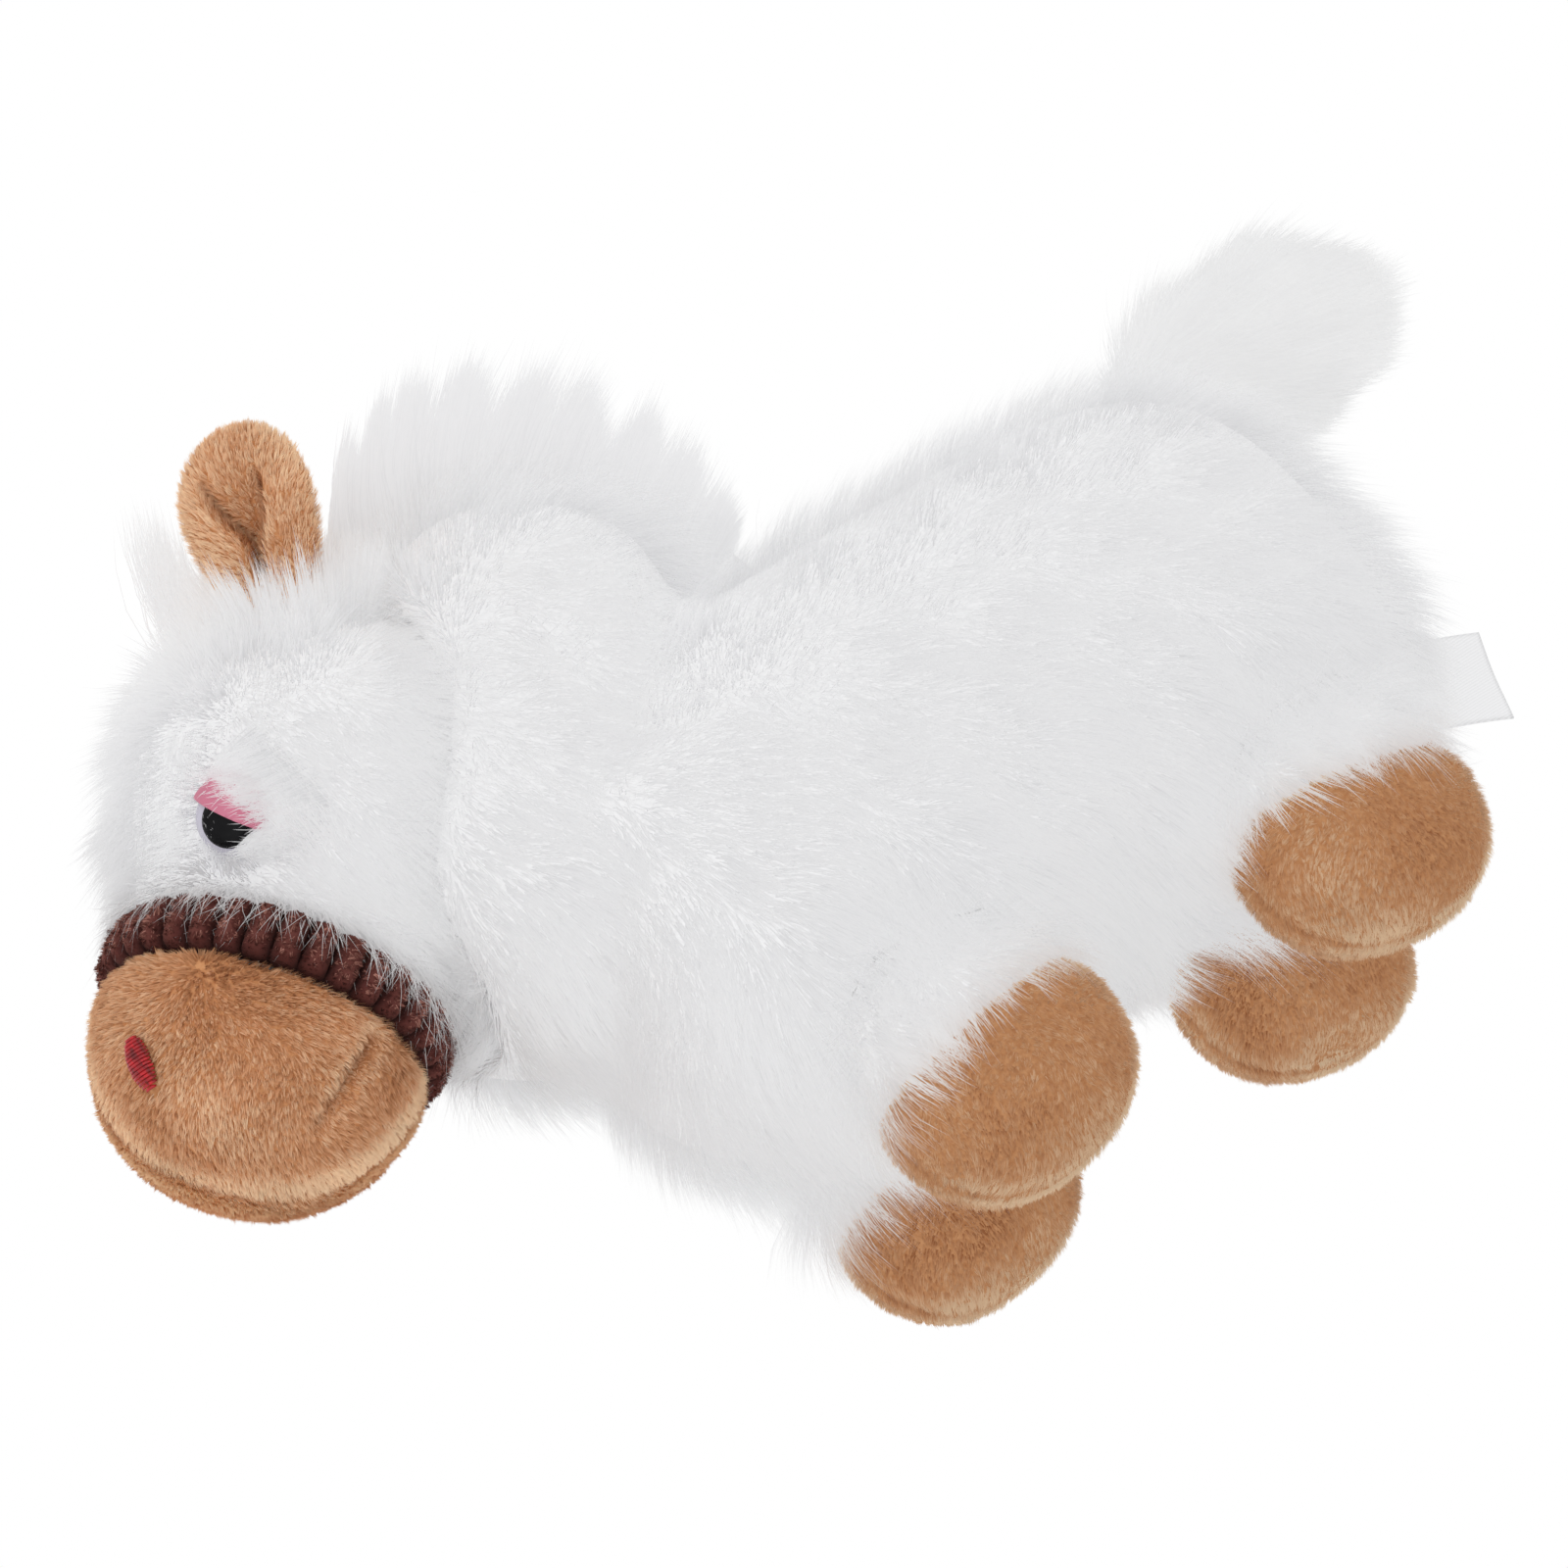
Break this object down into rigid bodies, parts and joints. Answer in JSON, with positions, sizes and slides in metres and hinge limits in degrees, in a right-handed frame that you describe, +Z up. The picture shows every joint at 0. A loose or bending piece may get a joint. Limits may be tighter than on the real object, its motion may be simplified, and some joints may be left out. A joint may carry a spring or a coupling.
{
  "type": "plush horse",
  "caption": "Standing soft toy horse with long white fur, padded tan hooves and muzzle, folded ears, a ribbed brown noseband, mane and brush tail.",
  "frame": {"origin": "on the floor, under the middle of the whole horse", "axes": "+Z up, the nose points along -Y, +X is the left side of the horse"},
  "size_m": [0.0968, 0.343, 0.2255],
  "materials": {
    "long_white_fur": "long brushed pile",
    "tan_plush": "short dense pile",
    "brown_corduroy": "wide ribs",
    "polyester_stuffing": "loose fibre fill",
    "red_thread": "satin stitch",
    "eye_plastic": "polished",
    "black_plastic": "polished",
    "pink_plastic": "satin",
    "clear_plastic": "moulded",
    "label_ribbon": "smooth woven ribbon"
  },
  "bodies": {
    "torso": {"body_cover_left": "long_white_fur", "body_cover_right": "long_white_fur", "belly_gusset": "long_white_fur", "torso_stuffing": "polyester_stuffing", "neck_stuffing": "polyester_stuffing", "mane": "long_white_fur", "leg_fur_front_left": "long_white_fur", "leg_fur_front_right": "long_white_fur", "leg_fur_rear_left": "long_white_fur", "leg_fur_rear_right": "long_white_fur"},
    "head": {"head_cover_left": "long_white_fur", "head_cover_right": "long_white_fur", "head_stuffing": "polyester_stuffing", "muzzle_left": "tan_plush", "muzzle_right": "tan_plush", "noseband": "brown_corduroy", "forelock": "long_white_fur", "eye_left": "eye_plastic", "pupil_left": "black_plastic", "eyelid_left": "pink_plastic", "eye_washer_left": "clear_plastic", "nostril_left": "red_thread", "eye_right": "eye_plastic", "pupil_right": "black_plastic", "eyelid_right": "pink_plastic", "eye_washer_right": "clear_plastic", "nostril_right": "red_thread"},
    "ear_left": {"ear_back_left": "tan_plush", "ear_front_left": "tan_plush"},
    "ear_right": {"ear_back_right": "tan_plush", "ear_front_right": "tan_plush"},
    "tail": {"tail": "long_white_fur"},
    "label": {"care_label": "label_ribbon"},
    "leg_front_left": {"hoof_outer_front_left": "tan_plush", "hoof_inner_front_left": "tan_plush", "hoof_stuffing_front_left": "polyester_stuffing"},
    "leg_front_right": {"hoof_outer_front_right": "tan_plush", "hoof_inner_front_right": "tan_plush", "hoof_stuffing_front_right": "polyester_stuffing"},
    "leg_rear_left": {"hoof_outer_rear_left": "tan_plush", "hoof_inner_rear_left": "tan_plush", "hoof_stuffing_rear_left": "polyester_stuffing"},
    "leg_rear_right": {"hoof_outer_rear_right": "tan_plush", "hoof_inner_rear_right": "tan_plush", "hoof_stuffing_rear_right": "polyester_stuffing"}
  },
  "joints": [
    {"name": "head_nod", "type": "hinge", "parent": "torso", "child": "head", "pos_m": [0, -0.0994, 0.15348], "axis": [1, 0, 0], "range_deg": [-12, 8], "stiffness_Nm_per_rad": 1.2},
    {"name": "tail_lift", "type": "hinge", "parent": "torso", "child": "tail", "pos_m": [0, 0.10321, 0.13387], "axis": [1, 0, 0], "range_deg": [-30, 25], "stiffness_Nm_per_rad": 0.15},
    {"name": "label_flap", "type": "hinge", "parent": "torso", "child": "label", "pos_m": [0, 0.10557, 0.05288], "axis": [0, 0.3907, 0.9205], "range_deg": [-40, 40], "stiffness_Nm_per_rad": 0.01},
    {"name": "ear_fold_left", "type": "hinge", "parent": "head", "child": "ear_left", "pos_m": [0.02515, -0.08659, 0.18271], "axis": [0.4087, 0.8203, -0.4001], "range_deg": [-20, 20], "stiffness_Nm_per_rad": 0.06},
    {"name": "ear_fold_right", "type": "hinge", "parent": "head", "child": "ear_right", "pos_m": [-0.02515, -0.08659, 0.18271], "axis": [0.4087, -0.8203, 0.4001], "range_deg": [-20, 20], "stiffness_Nm_per_rad": 0.06},
    {"name": "leg_swing_front_left", "type": "hinge", "parent": "torso", "child": "leg_front_left", "pos_m": [0.028, -0.03608, 0.041], "axis": [1, 0, 0], "range_deg": [-12, 12], "stiffness_Nm_per_rad": 2, "deforming": ["leg_fur_front_left"]},
    {"name": "leg_swing_front_right", "type": "hinge", "parent": "torso", "child": "leg_front_right", "pos_m": [-0.028, -0.03608, 0.041], "axis": [1, 0, 0], "range_deg": [-12, 12], "stiffness_Nm_per_rad": 2, "deforming": ["leg_fur_front_right"]},
    {"name": "leg_swing_rear_left", "type": "hinge", "parent": "torso", "child": "leg_rear_left", "pos_m": [0.028, 0.05892, 0.041], "axis": [1, 0, 0], "range_deg": [-6, 12], "stiffness_Nm_per_rad": 2, "deforming": ["leg_fur_rear_left"]},
    {"name": "leg_swing_rear_right", "type": "hinge", "parent": "torso", "child": "leg_rear_right", "pos_m": [-0.028, 0.05892, 0.041], "axis": [1, 0, 0], "range_deg": [-6, 12], "stiffness_Nm_per_rad": 2, "deforming": ["leg_fur_rear_right"]}
  ]
}
